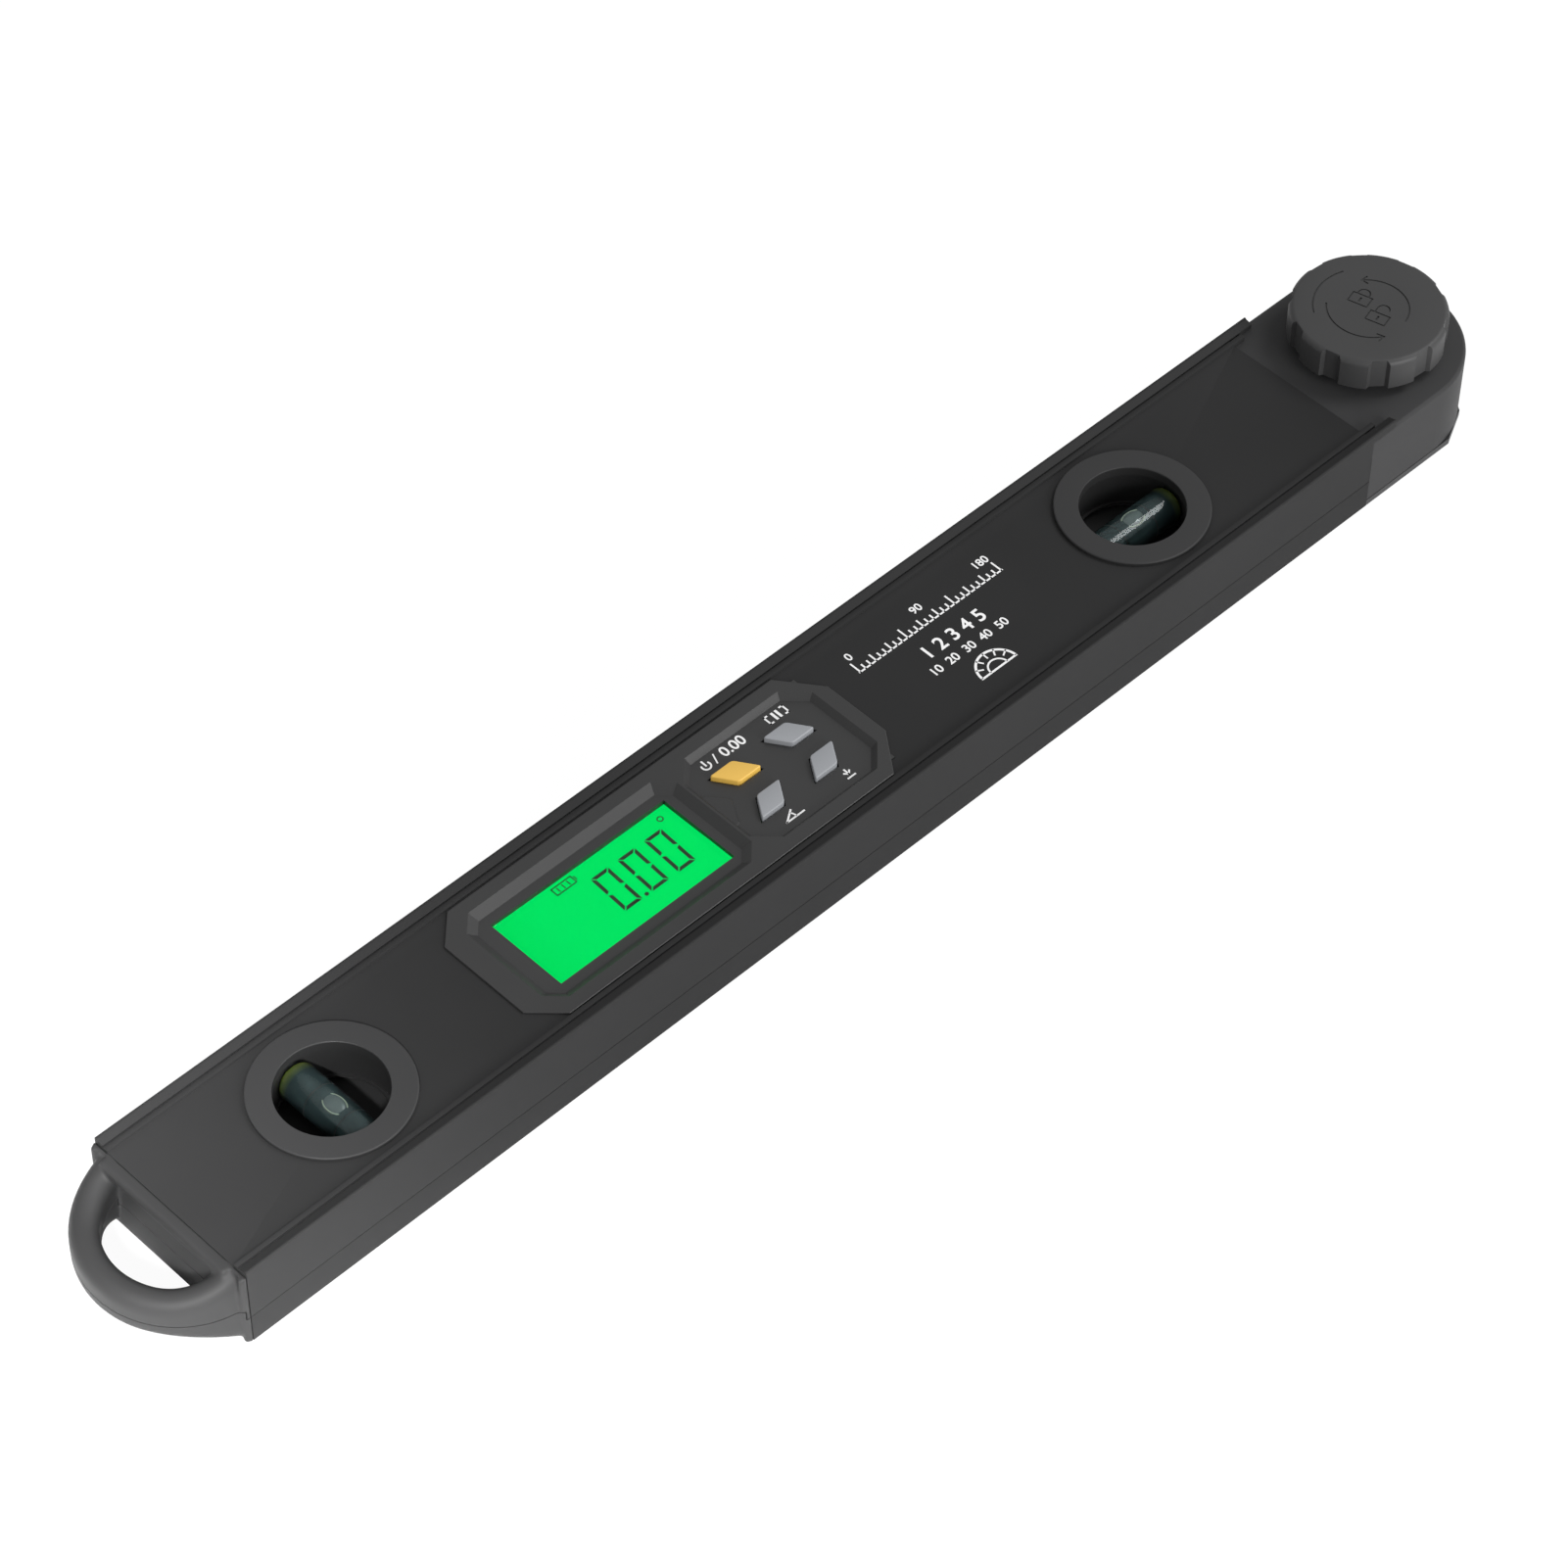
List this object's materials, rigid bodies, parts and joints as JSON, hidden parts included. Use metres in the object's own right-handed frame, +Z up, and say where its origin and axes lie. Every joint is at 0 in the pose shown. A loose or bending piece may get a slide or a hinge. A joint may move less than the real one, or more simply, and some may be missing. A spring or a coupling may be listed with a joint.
{
  "type": "angle finder with arms",
  "caption": "Digital angle finder: stacked folding aluminium arms on a clamped pivot, lit display with buttons, level and plumb vials, and a hand loop on the ends.",
  "frame": {"origin": "middle of the folded tool on the plane that its second leg rests on", "axes": "+X along the tool from the hand loop to the pivot, +Y the side that the second leg swings out to, +Z up out of the display"},
  "size_m": [0.4802, 0.056, 0.0373],
  "materials": {
    "black_anodised": "black anodised, satin",
    "black_plastic": "black moulded, lightly textured",
    "black_cast": "black powder coat on a casting",
    "grey_plastic": "dark grey moulded",
    "steel": "zinc plated",
    "black_steel": "black oxide",
    "brass": "turned",
    "friction_pad": "plain white",
    "board": "solder mask",
    "clear_window": "clear flat window",
    "lcd_green": "lit green",
    "light_guide": "white light guide",
    "connector_rubber": "striped elastomer",
    "vial": "clear acrylic filled with yellow-green spirit",
    "battery_sleeve": "plain shrink sleeve",
    "wire_red": "insulated",
    "ribbon": "flat flexible cable",
    "button_amber": "soft moulded",
    "button_grey": "soft moulded"
  },
  "bodies": {
    "main_arm": {"main_leg": "black_anodised", "main_end_cap": "black_plastic", "pivot_housing": "black_cast", "main_leg_screws": "steel", "display_bezel": "black_plastic", "display_window": "clear_window", "lcd_panel": "lcd_green", "lcd_backlight": "light_guide", "lcd_connectors": "connector_rubber", "circuit_board": "board", "display_board_screws": "steel", "tact_switches": "steel", "battery_tray": "black_plastic", "battery_cover": "black_plastic", "battery_cover_screw": "steel", "batteries": "battery_sleeve", "battery_contacts": "steel", "battery_leads": "wire_red", "ribbon_cable": "ribbon", "plumb_vial": "vial", "plumb_vial_ring": "grey_plastic", "plumb_vial_base": "grey_plastic", "level_vial": "vial", "level_vial_ring": "grey_plastic", "level_vial_base": "grey_plastic", "pivot_bushing": "brass", "encoder_board": "board", "pivot_collar": "black_plastic"},
    "second_arm": {"second_leg": "black_anodised", "second_end_cap": "black_plastic", "second_cap_screws": "steel", "pivot_plate": "black_steel", "pivot_plate_screws": "steel", "clamp_bolt": "steel", "friction_washer": "friction_pad", "encoder_rotor": "board"},
    "knob": {"clamp_knob": "black_plastic", "knob_nut": "brass", "thrust_washer": "steel"},
    "power_button": {"power_button": "button_amber"},
    "hold_button": {"hold_button": "button_grey"},
    "mode_button": {"mode_button": "button_grey"},
    "memory_button": {"memory_button": "button_grey"}
  },
  "joints": [
    {"name": "leg_swing", "type": "hinge", "parent": "main_arm", "child": "second_arm", "pos_m": [0.21225, 0, 0.0047], "axis": [0, 0, -1], "range_deg": [0, 225]},
    {"name": "knob_turn", "type": "hinge", "parent": "second_arm", "child": "knob", "pos_m": [0.21225, 0, 0.032], "axis": [0, 0, 1], "range_deg": [0, 180]},
    {"name": "power_press", "type": "slide", "parent": "main_arm", "child": "power_button", "axis": [0, 0, -1], "range_m": [0, 0.0008], "stiffness_N_per_m": 900, "springref_m": -0.0006},
    {"name": "hold_press", "type": "slide", "parent": "main_arm", "child": "hold_button", "axis": [0, 0, -1], "range_m": [0, 0.0008], "stiffness_N_per_m": 900, "springref_m": -0.0006},
    {"name": "mode_press", "type": "slide", "parent": "main_arm", "child": "mode_button", "axis": [0, 0, -1], "range_m": [0, 0.0008], "stiffness_N_per_m": 900, "springref_m": -0.0006},
    {"name": "memory_press", "type": "slide", "parent": "main_arm", "child": "memory_button", "axis": [0, 0, -1], "range_m": [0, 0.0008], "stiffness_N_per_m": 900, "springref_m": -0.0006}
  ]
}
